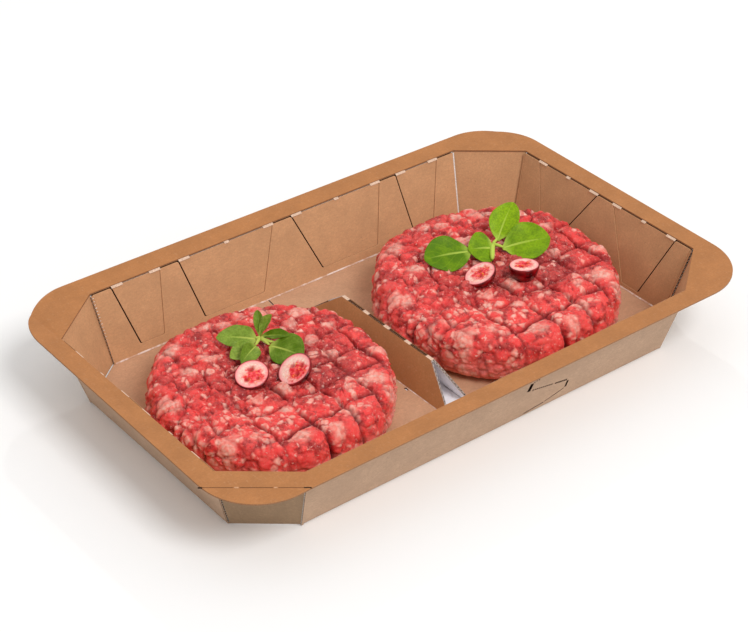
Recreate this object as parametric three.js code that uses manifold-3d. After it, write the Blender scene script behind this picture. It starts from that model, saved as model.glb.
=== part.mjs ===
// Burger tray: a folded corrugated card tray with a flat rim and a raised centre divider,
// holding two raw pressed beef patties, each dressed with a leafy sprig and two halved berries.
// Millimetres, +Z up. The tray stands on z = 0, long side along X, centred on the origin.
import * as THREE from 'three';
import { mergeVertices } from 'three/addons/utils/BufferGeometryUtils.js';
import Module from 'manifold-3d';

const wasm = await Module();
wasm.setup();

// ---------------------------------------------------------------- driving dimensions

const HEIGHT = 33; // underside of the floor to the top of the rim
const GAP = 0.3; // clearance between pieces that touch

const RIM = { length: 270, width: 170, cornerRadius: 27.5, thickness: 1 };
// The opening is a rectangle with four cut corners: cutX and cutY are the legs of each cut.
const OPENING = { length: 250, width: 150.7, cutX: 26.1, cutY: 21 };
const FLOOR = { length: 231.2, width: 131.8, cutX: 19.9, cutY: 16, thickness: 1 };
const WALL = { thickness: 1.5, lining: 0.9, flap: 0.45, flapSetBack: 0.15 };
// The corner tab of the rim nearest the viewer is creased across and bent down a little.
const CORNER_TAB = { legX: 32, legY: 25, bend: THREE.MathUtils.degToRad(8) };

// Flaps folded down from the rim, as places along one half of a wall: the top edge runs from
// `from` to `to`, and the sides lean in by `leanIn` (towards the middle) and `leanOut`.
const LONG_FLAPS = [
  { from: 5, to: 55, leanIn: 11.5, leanOut: 7.4, reach: 29.4 },
  { from: 64.5, to: 89, leanIn: 4.7, leanOut: 8.1, reach: 29.4 },
];
const SHORT_FLAPS = [{ from: 4.8, to: 44.4, leanIn: 18, leanOut: 12, reach: 31.6 }];

const DIVIDER = {
  x: -1.25, y: -1, footHalf: 7.15, ridgeHalf: 0.9, ridgeZ: 16.3,
  footLength: 100, ridgeLength: 61, board: 1,
  slots: 4, slotLength: 10.4, slotWidth: 0.9, slotPitch: 14.2,
};

// The score pitch and depth are the criss-cross left by the press.
const PATTIES = {
  patty_left: { x: -63.3, y: -4, radius: 51, height: 20.8, phase: 0.4 },
  patty_right: { x: 57.6, y: -4.5, radius: 54, height: 22.7, phase: 2.1 },
};
const PATTY_SCORE = { pitch: 17.5, depth: 2.2, width: 2.2, turn: THREE.MathUtils.degToRad(4) };
const PATTY_SIDE = { bulge: 6.5, flatShare: 0.84, underside: 3.5 };
const PATTY_DETAIL = 11;

const BERRY = { radius: 6.6, depth: 5.6, segments: 18, rings: 5 };
const BERRY_HALVES = {
  berry_left_near: { on: 'patty_left', x: -74, y: -4.6, tilt: 20, heading: -128 },
  berry_left_far: { on: 'patty_left', x: -58, y: -12.4, tilt: 17, heading: -115 },
  berry_right_near: { on: 'patty_right', x: 48, y: -5, tilt: 10, heading: -110 },
  berry_right_far: { on: 'patty_right', x: 64, y: -15, tilt: 5, heading: 60 },
};

// Each leaf runs `length` from the sprig's joint along `heading` (degrees from +X), rising by
// `rise` degrees and rolled by `roll` about its own length; `cup` lifts its sides.
const LEAF = { thickness: 0.9, across: 12, along: 9 };
const SPRIGS = {
  sprig_left: {
    on: 'patty_left',
    joint: [-56, 15.5, 25],
    stem: { heading: -75, length: 7, radius: 0.8 },
    leaves: [
      { heading: 52, rise: 42, roll: 10, length: 15, width: 9, cup: 1.6 },
      { heading: 141, rise: 12, roll: 24, length: 18, width: 13, cup: 2.2 },
      { heading: 197, rise: -1, roll: -8, length: 20, width: 11, cup: 1.8 },
      { heading: -8, rise: 16, roll: 34, length: 14, width: 8, cup: 1.4 },
      { heading: -52, rise: 4, roll: -14, length: 20, width: 13, cup: 2.2 },
    ],
  },
  sprig_right: {
    on: 'patty_right',
    joint: [66, 8.8, 27],
    stem: { heading: -138, length: 9, radius: 0.9 },
    leaves: [
      { heading: 38, rise: 30, roll: 6, length: 19, width: 14, cup: 2.2 },
      { heading: -22, rise: 13, roll: 12, length: 24, width: 18, cup: 2.6 },
      { heading: 158, rise: 4, roll: -12, length: 29, width: 18, cup: 2.6 },
      { heading: 176, rise: 8, roll: 10, length: 13, width: 13, cup: 1.8 },
    ],
  },
};

// ---------------------------------------------------------------- finishes

const finish = (color, roughness) =>
  new THREE.MeshStandardMaterial({ color, roughness, metalness: 0 });

const KRAFT_WALL = finish(0xc09068, 0.85);
const KRAFT_RIM = finish(0xc48a5b, 0.8);
const RAW_BEEF = finish(0xb04048, 0.35);
const LEAF_GREEN = finish(0x5a8f2c, 0.5);
const BERRY_SKIN = finish(0x8c1020, 0.25);

// ---------------------------------------------------------------- joining and cutting

function solidOf(geometry) {
  const bare = geometry.clone();
  bare.deleteAttribute('normal');
  bare.deleteAttribute('uv');
  const merged = mergeVertices(bare, 1e-4);
  const vertProperties = Float32Array.from(merged.attributes.position.array);
  const triVerts = Uint32Array.from(merged.index.array);
  return new wasm.Manifold(new wasm.Mesh({ numProp: 3, vertProperties, triVerts }));
}

function geometryOf(solid) {
  const { vertProperties, triVerts } = solid.getMesh();
  const geometry = new THREE.BufferGeometry();
  geometry.setAttribute('position', new THREE.BufferAttribute(vertProperties, 3));
  geometry.setIndex(new THREE.BufferAttribute(triVerts, 1));
  return geometry;
}

const joined = (solids) => solids.reduce((whole, next) => whole.add(next));

function extruded(points, depth) {
  const shape = new THREE.Shape(points.map(([x, y]) => new THREE.Vector2(x, y)));
  return new THREE.ExtrudeGeometry(shape, { depth, bevelEnabled: false });
}

// ---------------------------------------------------------------- the tray's eight-sided form

// Corner points of the eight-sided outline, anticlockwise, moved outwards by `out`.
function outline({ length, width, cutX, cutY }, out = 0) {
  const a = length / 2;
  const b = width / 2;
  const cut = Math.hypot(cutX, cutY);
  const [nx, ny] = [cutY / cut, cutX / cut];
  const x = a - cutX + (out * (1 - ny)) / nx;
  const y = b - cutY + (out * (1 - nx)) / ny;
  const [A, B] = [a + out, b + out];
  return [[A, y], [x, B], [-x, B], [-A, y], [-A, -y], [-x, -B], [x, -B], [A, -y]];
}

// The walls run straight from the floor's outline to the opening's outline.
function sectionAt(z) {
  const t = (z - FLOOR.thickness) / (HEIGHT - FLOOR.thickness);
  const mix = (key) => THREE.MathUtils.lerp(FLOOR[key], OPENING[key], t);
  return { length: mix('length'), width: mix('width'), cutX: mix('cutX'), cutY: mix('cutY') };
}

// A closed solid between two outlines that have the same number of points.
function lofted(lower, upper, z0, z1) {
  const geometry = extruded(lower, z1 - z0).translate(0, 0, z0);
  const position = geometry.attributes.position;
  for (let i = 0; i < position.count; i += 1) {
    if (position.getZ(i) < (z0 + z1) / 2) continue;
    const at = lower.findIndex(([x, y]) =>
      Math.hypot(x - position.getX(i), y - position.getY(i)) < 1e-3);
    position.setXY(i, upper[at][0], upper[at][1]);
  }
  return solidOf(geometry);
}

// Places a shape drawn flat (u along the wall, v up its slope, w into the tray) on a wall whose
// inner face meets the opening `half` from the middle and the floor `floorHalf` from it.
function onWall({ turn, half, floorHalf }, geometry) {
  const rise = HEIGHT - FLOOR.thickness;
  const upSlope = new THREE.Vector3(0, half - floorHalf, rise).normalize();
  const along = new THREE.Vector3(1, 0, 0);
  const inward = new THREE.Vector3().crossVectors(along, upSlope);
  const place = new THREE.Matrix4().makeBasis(along, upSlope, inward).setPosition(0, half, HEIGHT);
  return geometry.applyMatrix4(place).rotateZ(turn);
}

const LONG_SIDE = { half: OPENING.width / 2, floorHalf: FLOOR.width / 2, flaps: LONG_FLAPS };
const SHORT_SIDE = { half: OPENING.length / 2, floorHalf: FLOOR.length / 2, flaps: SHORT_FLAPS };
const WALLS = [
  { ...LONG_SIDE, turn: 0 },
  { ...LONG_SIDE, turn: Math.PI },
  { ...SHORT_SIDE, turn: Math.PI / 2 },
  { ...SHORT_SIDE, turn: -Math.PI / 2 },
];

// One flap's outline on its wall; `side` is 1 or -1, `slack` widens it into the seat it lies in,
// and `top` is how far above the fold its straight sides are carried on.
function flapOutline({ from, to, leanIn, leanOut, reach }, side, slack, top) {
  const low = -reach - slack;
  const inner = (v) => from - (leanIn * v) / reach - slack;
  const outer = (v) => to + (leanOut * v) / reach + slack;
  const points = [[inner(top), top], [inner(low), low], [outer(low), low], [outer(top), top]];
  return points.map(([u, v]) => [side * u, v]);
}

// Every flap of every wall, `thickness` thick, its face `setBack` behind the wall's inner face.
function flapSolids({ thickness, setBack, slack, top }) {
  const solids = [];
  for (const wall of WALLS) {
    for (const flap of wall.flaps) {
      for (const side of [-1, 1]) {
        const plate = extruded(flapOutline(flap, side, slack, top), thickness);
        solids.push(solidOf(onWall(wall, plate.translate(0, 0, -setBack - thickness))));
      }
    }
  }
  return solids;
}

// ---------------------------------------------------------------- tray body

// The divider is cut from the floor and pushed up into a ridge, so it is hollow underneath.
function dividerSolids() {
  const { footHalf, ridgeHalf, ridgeZ, footLength, ridgeLength, board } = DIVIDER;
  const innerFoot = footHalf - board;
  const innerRidge = ridgeHalf - board / 3;
  const tent = extruded([
    [-footHalf, 0], [-footHalf, board], [-ridgeHalf, ridgeZ], [ridgeHalf, ridgeZ],
    [footHalf, board], [footHalf, 0], [innerFoot, 0], [innerRidge, ridgeZ - board],
    [-innerRidge, ridgeZ - board], [-innerFoot, 0],
  ].reverse(), footLength);
  tent.translate(0, 0, -footLength / 2).rotateX(Math.PI / 2);
  // The ends lean in as they rise: each end point moves along Y in step with its height.
  const position = tent.attributes.position;
  for (let i = 0; i < position.count; i += 1) {
    const risen = Math.max(0, position.getZ(i) - board) / (ridgeZ - board);
    const half = THREE.MathUtils.lerp(footLength, ridgeLength, risen) / 2;
    position.setY(i, Math.sign(position.getY(i)) * half);
  }
  let ridge = solidOf(tent.translate(DIVIDER.x, DIVIDER.y, 0));
  for (let i = 0; i < DIVIDER.slots; i += 1) {
    const y = (i - (DIVIDER.slots - 1) / 2) * DIVIDER.slotPitch;
    const slot = new THREE.BoxGeometry(DIVIDER.slotWidth, DIVIDER.slotLength, 4 * board);
    ridge = ridge.subtract(solidOf(slot.translate(DIVIDER.x, DIVIDER.y + y, ridgeZ)));
  }
  const hole = new THREE.BoxGeometry(2 * innerFoot, footLength, 4 * board);
  return { ridge, hole: solidOf(hole.translate(DIVIDER.x, DIVIDER.y, 0)) };
}

function trayBody() {
  const top = HEIGHT - RIM.thickness - GAP;
  const slope = Math.hypot(1, (OPENING.length - FLOOR.length) / 2 / (HEIGHT - FLOOR.thickness));
  const out = WALL.thickness * slope;
  const over = HEIGHT + 5;
  const outside = lofted(outline(sectionAt(0), out), outline(sectionAt(top), out), 0, top);
  const inside = lofted(outline(FLOOR), outline(sectionAt(over)), FLOOR.thickness, over);
  const seats = flapSolids({ thickness: WALL.lining + 2, setBack: -2, slack: GAP, top: 3 });
  const { ridge, hole } = dividerSolids();
  return outside.subtract(inside).subtract(joined(seats)).subtract(hole).add(ridge);
}

// ---------------------------------------------------------------- rim with its folded flaps

function rimPlate() {
  const [a, b, r] = [RIM.length / 2, RIM.width / 2, RIM.cornerRadius];
  const shape = new THREE.Shape();
  shape.absarc(a - r, b - r, r, 0, Math.PI / 2);
  shape.absarc(-a + r, b - r, r, Math.PI / 2, Math.PI);
  shape.absarc(-a + r, -b + r, r, Math.PI, 1.5 * Math.PI);
  shape.absarc(a - r, -b + r, r, 1.5 * Math.PI, 2 * Math.PI);
  const hole = outline(OPENING).map(([x, y]) => new THREE.Vector2(x, y));
  shape.holes.push(new THREE.Path(hole.reverse()));
  const plate = new THREE.ExtrudeGeometry(shape, {
    depth: RIM.thickness, bevelEnabled: false, curveSegments: 12,
  });
  return solidOf(plate.translate(0, 0, HEIGHT - RIM.thickness));
}

function rimFrame() {
  const { legX, legY, bend } = CORNER_TAB;
  const crease = Math.atan2(-legY, legX);
  const corner = new THREE.Vector3(-RIM.length / 2, -RIM.width / 2 + legY, HEIGHT);
  const reach = 60;
  const overlap = 0.2;
  const halfSpace = (shift) => {
    const box = new THREE.BoxGeometry(2 * reach, reach, 10).translate(0, shift - reach / 2, 0);
    return solidOf(box.rotateZ(crease).translate(corner.x, corner.y, corner.z));
  };
  const plate = rimPlate();
  const flat = plate.subtract(halfSpace(0));
  const tab = geometryOf(plate.intersect(halfSpace(overlap)));
  tab.translate(-corner.x, -corner.y, -corner.z).rotateZ(-crease).rotateX(bend);
  tab.rotateZ(crease).translate(corner.x, corner.y, corner.z);
  const flaps = flapSolids({
    thickness: WALL.flap, setBack: WALL.flapSetBack, slack: 0, top: 0,
  });
  return joined([flat, solidOf(tab), ...flaps]);
}

// ---------------------------------------------------------------- patties

// How far a place is below the raised cells of the press pattern, 0 to 1.
function score(x, y) {
  const { pitch, width, turn } = PATTY_SCORE;
  const line = (d) => {
    const off = d - pitch * Math.round(d / pitch);
    return Math.exp(-((off / width) ** 2));
  };
  const u = x * Math.cos(turn) + y * Math.sin(turn) + pitch / 2;
  const v = y * Math.cos(turn) - x * Math.sin(turn);
  return Math.max(line(u), line(v));
}

// The ground meat's unevenness, in millimetres, from a few waves that don't line up.
function lumps(x, y, phase) {
  const wave = (p, q, shift) => Math.sin(p * x + q * y + shift + phase);
  return 0.5 * wave(0.21, 0.13, 0) + 0.35 * wave(-0.17, 0.38, 1.7) + 0.3 * wave(0.51, -0.29, 3.1);
}

// An icosphere flattened into a puck: its points keep an even spacing over top and bottom.
function pattyGeometry({ radius, height, phase }) {
  const geometry = new THREE.IcosahedronGeometry(1, PATTY_DETAIL);
  geometry.deleteAttribute('normal');
  geometry.deleteAttribute('uv');
  const puck = mergeVertices(geometry, 1e-5);
  const position = puck.attributes.position;
  const half = height / 2;
  for (let i = 0; i < position.count; i += 1) {
    const [px, py, pz] = [position.getX(i), position.getY(i), position.getZ(i)];
    const angle = Math.atan2(py, px);
    const share = Math.sqrt(Math.max(0, 1 - Math.abs(pz)));
    const up = pz >= 0;
    const bulge = up ? PATTY_SIDE.bulge : PATTY_SIDE.underside;
    const turn = (Math.max(0, share - PATTY_SIDE.flatShare) / (1 - PATTY_SIDE.flatShare)) *
      (Math.PI / 2);
    const wobble = 0.9 * Math.sin(3 * angle + phase) + 0.7 * Math.sin(7 * angle + 2 * phase);
    const flat = (radius - bulge) * Math.min(1, share / PATTY_SIDE.flatShare);
    const r = flat + (bulge + wobble) * Math.sin(turn);
    const [x, y] = [r * Math.cos(angle), r * Math.sin(angle)];
    const relief = up ? lumps(x, y, phase) - PATTY_SCORE.depth * score(x, y) : 0;
    const level = half * Math.cos(turn) + relief * Math.cos(turn);
    position.setXYZ(i, x, y, half + (up ? level : -level));
  }
  return puck;
}

// Height of a patty's top over the ground at a place inside its flat part.
function topHeight(patty, x, y) {
  const [px, py] = [x - patty.x, y - patty.y];
  const relief = lumps(px, py, patty.phase) - PATTY_SCORE.depth * score(px, py);
  return FLOOR.thickness + GAP + patty.height + relief;
}

// Lowers or lifts a dressing until it is the usual clearance above the patty it lies on.
function settled(geometry, patty) {
  const position = geometry.attributes.position;
  let lift = -Infinity;
  for (let i = 0; i < position.count; i += 1) {
    const top = topHeight(patty, position.getX(i), position.getY(i));
    lift = Math.max(lift, top + GAP - position.getZ(i));
  }
  return geometry.translate(0, 0, lift);
}

// ---------------------------------------------------------------- sprigs

// A leaf is a flattened ball, narrowed to its stalk, cupped along its midrib.
function leafSolid(joint, { heading, rise, roll, length, width, cup }) {
  const geometry = new THREE.SphereGeometry(1, LEAF.across, LEAF.along);
  const position = geometry.attributes.position;
  for (let i = 0; i < position.count; i += 1) {
    // The ball's poles become the stalk end and the tip.
    const along = (1 - position.getY(i)) / 2;
    const spread = Math.sin(Math.PI * along ** 0.8) ** 0.8;
    const ring = Math.sqrt(Math.max(1e-9, 1 - position.getY(i) ** 2));
    const across = (position.getX(i) / ring) * (along > 0 && along < 1 ? 1 : 0);
    const through = (position.getZ(i) / ring) * (along > 0 && along < 1 ? 1 : 0);
    const y = (width / 2) * across * (0.1 + 0.9 * spread);
    const bend = cup * (across ** 2) * spread - 0.9 * cup * along ** 2;
    position.setXYZ(i, along * length, y, bend + (LEAF.thickness / 2) * through);
  }
  geometry.rotateX(THREE.MathUtils.degToRad(roll));
  geometry.rotateY(THREE.MathUtils.degToRad(-rise));
  geometry.rotateZ(THREE.MathUtils.degToRad(heading));
  return solidOf(geometry.translate(-0.4, 0, 0).translate(...joint));
}

function sprig({ joint, stem, leaves }) {
  const node = new THREE.Vector3(...joint);
  const aim = THREE.MathUtils.degToRad(stem.heading);
  const away = new THREE.Vector3(Math.cos(aim), Math.sin(aim), -0.12);
  const end = node.clone().addScaledVector(away, stem.length);
  const path = new THREE.CatmullRomCurve3([
    end, node.clone().lerp(end, 0.5).add(new THREE.Vector3(0, 0, 0.6)), node,
  ]);
  const section = new THREE.Shape().absarc(0, 0, stem.radius, 0, 2 * Math.PI);
  const stalk = new THREE.ExtrudeGeometry(section, {
    steps: 5, extrudePath: path, bevelEnabled: false, curveSegments: 4,
  });
  const hub = new THREE.SphereGeometry(1.3 * stem.radius, 8, 6).translate(...joint);
  return joined([solidOf(hub), solidOf(stalk), ...leaves.map((leaf) => leafSolid(joint, leaf))]);
}

// ---------------------------------------------------------------- halved berries

// The cut face is up, its edge slightly rounded, with a shallow dish over the core.
function berryGeometry() {
  const { radius, depth, segments, rings } = BERRY;
  const profile = [new THREE.Vector2(0, -depth)];
  for (let i = 1; i <= rings; i += 1) {
    const angle = (i / (rings + 0.6)) * (Math.PI / 2);
    profile.push(new THREE.Vector2(radius * Math.sin(angle), -depth * Math.cos(angle)));
  }
  profile.push(new THREE.Vector2(radius, -0.15 * depth));
  profile.push(new THREE.Vector2(0.95 * radius, 0));
  profile.push(new THREE.Vector2(0.45 * radius, -0.1));
  profile.push(new THREE.Vector2(0, -0.5));
  return new THREE.LatheGeometry(profile, segments).rotateX(Math.PI / 2);
}

// ---------------------------------------------------------------- the whole

const tray = new THREE.Group();

function addPiece(name, geometry, material) {
  const mesh = new THREE.Mesh(geometry, material);
  mesh.name = name;
  tray.add(mesh);
  return mesh;
}

addPiece('tray_body', geometryOf(trayBody()), KRAFT_WALL);
addPiece('rim_frame', geometryOf(rimFrame()), KRAFT_RIM);

for (const [name, patty] of Object.entries(PATTIES)) {
  const mesh = addPiece(name, pattyGeometry(patty), RAW_BEEF);
  mesh.position.set(patty.x, patty.y, FLOOR.thickness + GAP);
}

for (const [name, form] of Object.entries(SPRIGS)) {
  addPiece(name, settled(geometryOf(sprig(form)), PATTIES[form.on]), LEAF_GREEN);
}

for (const [name, { on, x, y, tilt, heading }] of Object.entries(BERRY_HALVES)) {
  const aim = THREE.MathUtils.degToRad(heading);
  const axis = new THREE.Vector3(-Math.sin(aim), Math.cos(aim), 0);
  const turn = new THREE.Matrix4().makeRotationAxis(axis, THREE.MathUtils.degToRad(tilt));
  const half = berryGeometry().applyMatrix4(turn).translate(x, y, 0);
  addPiece(name, settled(half, PATTIES[on]), BERRY_SKIN);
}

export default tray;
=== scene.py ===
import bisect
import math
import random

import bmesh
import bpy
from mathutils import Matrix, Vector, noise


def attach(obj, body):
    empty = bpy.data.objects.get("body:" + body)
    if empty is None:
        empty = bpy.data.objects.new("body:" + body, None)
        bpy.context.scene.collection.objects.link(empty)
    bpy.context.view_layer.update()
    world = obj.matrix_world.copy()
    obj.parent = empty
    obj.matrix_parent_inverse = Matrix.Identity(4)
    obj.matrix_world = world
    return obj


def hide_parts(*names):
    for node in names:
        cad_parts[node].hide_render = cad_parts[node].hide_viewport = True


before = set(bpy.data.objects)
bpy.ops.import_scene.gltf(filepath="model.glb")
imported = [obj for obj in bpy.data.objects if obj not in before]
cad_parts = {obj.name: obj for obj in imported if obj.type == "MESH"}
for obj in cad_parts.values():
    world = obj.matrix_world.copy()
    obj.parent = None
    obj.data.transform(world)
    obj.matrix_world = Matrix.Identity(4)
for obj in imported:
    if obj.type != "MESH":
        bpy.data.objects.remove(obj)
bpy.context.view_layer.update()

scene = bpy.context.scene

# ---------------------------------------------------------------- camera
# The camera stands at the front left corner of the tray and looks down on it with a long lens.
# It has no depth of field and no shift.

CAMERA_PLACE = (-0.44629, -0.56015, 0.50444)
CAMERA_PITCH = 55.97
CAMERA_HEADING = -38.08
CAMERA_LENS = 98.33

camera_data = bpy.data.cameras.new("camera")
camera_data.lens = CAMERA_LENS
camera_data.sensor_width = 36
camera_data.clip_start = 0.05
camera_data.clip_end = 20
camera = bpy.data.objects.new("camera", camera_data)
camera.location = CAMERA_PLACE
camera.rotation_euler = (math.radians(CAMERA_PITCH), 0, math.radians(CAMERA_HEADING))
scene.collection.objects.link(camera)
scene.camera = camera

# ---------------------------------------------------------------- light
# Soft studio light: an even pale surround, a broad key lamp above the front of the tray and a
# small lamp behind it on the right that gives the wet meat and the berries their small glints.

scene.view_settings.view_transform = "Standard"
scene.view_settings.look = "None"

SURROUND_STRENGTH = 0.71
world = bpy.data.worlds.new("surround")
world.use_nodes = True
world.node_tree.nodes["Background"].inputs["Color"].default_value = (1.0, 0.985, 0.97, 1)
world.node_tree.nodes["Background"].inputs["Strength"].default_value = SURROUND_STRENGTH
scene.world = world


def add_lamp(name, place, aim, size, power):
    """A square soft box at place that faces aim."""
    lamp_data = bpy.data.lights.new(name, "AREA")
    lamp_data.shape = "SQUARE"
    lamp_data.size = size
    lamp_data.energy = power
    lamp = bpy.data.objects.new(name, lamp_data)
    lamp.location = place
    lamp.rotation_euler = (Vector(aim) - Vector(place)).to_track_quat("-Z", "Y").to_euler()
    scene.collection.objects.link(lamp)


add_lamp("key_lamp", (0.2, -1.9, 2.4), (0, 0, 0.01), 1.2, 49)
add_lamp("glint_lamp", (0.85, 1.05, 1.0), (0, 0, 0.02), 0.036, 2.1)

# ---------------------------------------------------------------- ground
# A plain pale table top, wide enough to fill every view. It isn't part of the tray. Its finish
# is the first to use the shader helpers that every later finish is built with.

GROUND_RADIUS = 4


def node(tree, kind, inputs=None, **settings):
    """Adds a shader node. inputs gives each socket a value, or the socket that feeds it."""
    made = tree.nodes.new("ShaderNode" + kind)
    for name, value in settings.items():
        setattr(made, name, value)
    for name, value in (inputs or {}).items():
        if isinstance(value, bpy.types.NodeSocket):
            tree.links.new(value, made.inputs[name])
        else:
            made.inputs[name].default_value = value
    return made


def new_material(name, **constants):
    """A material whose shader has these constants, and the tree and shader to build on."""
    material = bpy.data.materials.new(name)
    material.use_nodes = True
    shader = material.node_tree.nodes["Principled BSDF"]
    for socket, value in constants.items():
        shader.inputs[socket.replace("_", " ")].default_value = value
    return material, material.node_tree, shader


def spread(tree, size, stretch=(1, 1, 1), detail=3.0, roughness=0.55, shift=0.0):
    """Noise on Object coordinates whose blotches are about size across, in millimetres."""
    coords = node(tree, "TexCoord").outputs["Object"]
    scale = [1000 / (size * s) for s in stretch]
    mapped = node(tree, "Mapping", {"Vector": coords, "Scale": scale, "Location": (shift,) * 3})
    return node(
        tree, "TexNoise",
        {"Vector": mapped.outputs["Vector"], "Scale": 1.0, "Detail": detail, "Roughness": roughness},
    ).outputs["Fac"]


def between(tree, value, low, high, out_low=0.0, out_high=1.0):
    """Maps value from low..high to out_low..out_high, held at both ends."""
    return node(
        tree, "MapRange",
        {"Value": value, "From Min": low, "From Max": high, "To Min": out_low, "To Max": out_high},
        clamp=True,
    ).outputs["Result"]


def mixed(tree, share, first, second):
    """Mixes two colours; share is a number or a socket."""
    made = node(tree, "Mix", data_type="RGBA")
    for socket, value in (("Factor_Float", share), ("A_Color", first), ("B_Color", second)):
        target = next(s for s in made.inputs if s.identifier == socket)
        if isinstance(value, bpy.types.NodeSocket):
            tree.links.new(value, target)
        else:
            target.default_value = value
    return next(s for s in made.outputs if s.identifier == "Result_Color")


def rgb(red, green, blue):
    """A colour given as seen on screen, 0 to 255, as the linear colour that nodes take."""
    seen = [c / 255 for c in (red, green, blue)]
    return (*[c / 12.92 if c < 0.04045 else ((c + 0.055) / 1.055) ** 2.4 for c in seen], 1)


def ground_finish():
    """A matt, almost even pale top."""
    material, tree, shader = new_material("ground_finish", Roughness=0.9)
    tone = between(tree, spread(tree, 400), 0.3, 0.7)
    pale = mixed(tree, tone, (0.93, 0.93, 0.93, 1), (0.95, 0.95, 0.95, 1))
    tree.links.new(pale, shader.inputs["Base Color"])
    return material


ground_mesh = bmesh.new()
bmesh.ops.create_circle(ground_mesh, cap_ends=True, segments=96, radius=GROUND_RADIUS)
ground_data = bpy.data.meshes.new("ground")
ground_mesh.to_mesh(ground_data)
ground_mesh.free()
ground_data.materials.append(ground_finish())
ground = bpy.data.objects.new("ground", ground_data)
scene.collection.objects.link(ground)

# ---------------------------------------------------------------- kraft board
# Everything but the food is die-cut kraft board: brown fibrous paper over a fluted middle ply.
# Its cut edges and crushed folds show the pale fibre inside.

MM = 0.001
FLUTE_PITCH = 2.5
PALE_FIBRE = rgb(214, 204, 197)


def tinted(tree, base, share, most, colour):
    """Lays colour over base where share is high, by most at the most."""
    return mixed(tree, between(tree, share, 0, 1, 0.0, most), base, colour)


def add_relief(tree, shader, strength, distance, height, socket="Normal"):
    """A fine relief in the surface, distance metres deep."""
    relief = node(tree, "Bump", {"Strength": strength, "Distance": distance, "Height": height})
    tree.links.new(relief.outputs["Normal"], shader.inputs[socket])


def kraft(name, colour, grain=1.0, mottle=0.04):
    """Kraft paper: faint mottling, fine dark and pale fibres, and a dry uneven surface."""
    material, tree, shader = new_material(name, Roughness=0.8, Specular_IOR_Level=0.25)
    dark = [c * (1 - 2 * mottle) for c in colour[:3]] + [1]
    light = [min(1, c * (1 + 2 * mottle)) for c in colour[:3]] + [1]
    shade = [c * 0.66 for c in colour[:3]] + [1]
    clouds = between(tree, spread(tree, 11, detail=5, roughness=0.6), 0.36, 0.64)
    paper = mixed(tree, clouds, dark, light)
    fibres = between(tree, spread(tree, 0.8, stretch=(2.5, 1, 1), detail=4, roughness=0.75), 0.34, 0.66)
    paper = tinted(tree, paper, fibres, 0.42 * grain, shade)
    hairs = between(tree, spread(tree, 0.8, stretch=(1, 2.5, 1), detail=3, shift=3.0), 0.58, 0.7)
    paper = tinted(tree, paper, hairs, 0.12 * grain, rgb(232, 196, 160))
    grit = between(tree, spread(tree, 0.8, detail=3, roughness=0.9, shift=11.0), 0.36, 0.64)
    paper = mixed(tree, between(tree, grit, 0, 1, 0.4 * grain, 0.0), paper, shade)
    flecks = between(tree, spread(tree, 0.75, detail=2, shift=7.0), 0.7, 0.76)
    paper = tinted(tree, paper, flecks, 0.5 * grain, rgb(104, 68, 42))
    tree.links.new(paper, shader.inputs["Base Color"])
    add_relief(tree, shader, 0.3, 0.0002, spread(tree, 0.6, detail=5, roughness=0.7))
    return material


def raw_edge(name, colour):
    """Cut board: pale pressed fibre, with spots of painted shade for the hollows of the fluted ply."""
    material, tree, shader = new_material(name, Roughness=0.9, Specular_IOR_Level=0.2)
    # The dim spots are painted shade for the hollows between the flutes.
    shade = between(tree, spread(tree, 0.5, detail=3), 0.35, 0.7)
    dim = [c * 0.62 for c in colour[:3]] + [1]
    tree.links.new(mixed(tree, shade, dim, colour), shader.inputs["Base Color"])
    return material


def worn_fold(name, fold_colour, paper_colour):
    """A crushed fold: the pale fibre breaks through the brown paper here and there."""
    material, tree, shader = new_material(name, Roughness=0.85, Specular_IOR_Level=0.2)
    broken = between(tree, spread(tree, 4.5, detail=5, roughness=0.8), 0.42, 0.58)
    tree.links.new(mixed(tree, broken, paper_colour, fold_colour), shader.inputs["Base Color"])
    return material


KRAFT_INSIDE = kraft("kraft_inside", rgb(209, 159, 116))
# The floor's kraft is a lighter, paler copy of the board's paper: painted light on the upward-facing floor.
KRAFT_FLOOR_LIT = kraft("kraft_floor_lit", rgb(211, 164, 130))
# The divider's kraft is a darker, richer copy of the floor sheet's paper: painted shade on its leaning faces.
KRAFT_DIVIDER_SHADED = kraft("kraft_divider_shaded", rgb(196, 139, 90))
KRAFT_OUTSIDE = kraft("kraft_outside", rgb(194, 162, 136), grain=1.25)
# The corner sides' outer face is painted darker: painted shade under the overhanging rim.
KRAFT_CORNER_SHADED = kraft("kraft_corner_shaded", rgb(160, 132, 104), grain=1.1)
KRAFT_RIM = kraft("kraft_rim", rgb(184, 124, 76), grain=0.75)
GREY_BACK = kraft("grey_back", rgb(250, 246, 252), grain=0.06, mottle=0.03)
CUT_EDGE = raw_edge("cut_edge", PALE_FIBRE)
SHADED_CUT = raw_edge("shaded_cut", rgb(96, 62, 40))
# A near-black brown for faces deep in gaps and slits and behind the flutes: painted shade.
SHADED_PLY = raw_edge("shaded_ply", rgb(52, 34, 24))
NOTCH_CUT = raw_edge("notch_cut", rgb(160, 112, 76))
BRIGHT_PLY = raw_edge("bright_ply", rgb(246, 240, 234))
BRIDGE_PAPER = raw_edge("bridge_paper", rgb(242, 208, 182))
FOLD_PAPER = worn_fold("fold_paper", rgb(232, 214, 204), rgb(200, 158, 130))

FACE, EDGE, BACK, DARK, PALE, OTHER = range(6)


def raised(height):
    return Matrix.Translation((0, 0, height))


def face_outwards(shape):
    bmesh.ops.recalc_face_normals(shape, faces=shape.faces[:])


def slide(shape, extruded, vec):
    """Moves the points that an extrusion has made."""
    points = [v for v in extruded["geom"] if isinstance(v, bmesh.types.BMVert)]
    bmesh.ops.translate(shape, vec=vec, verts=points)


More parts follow.
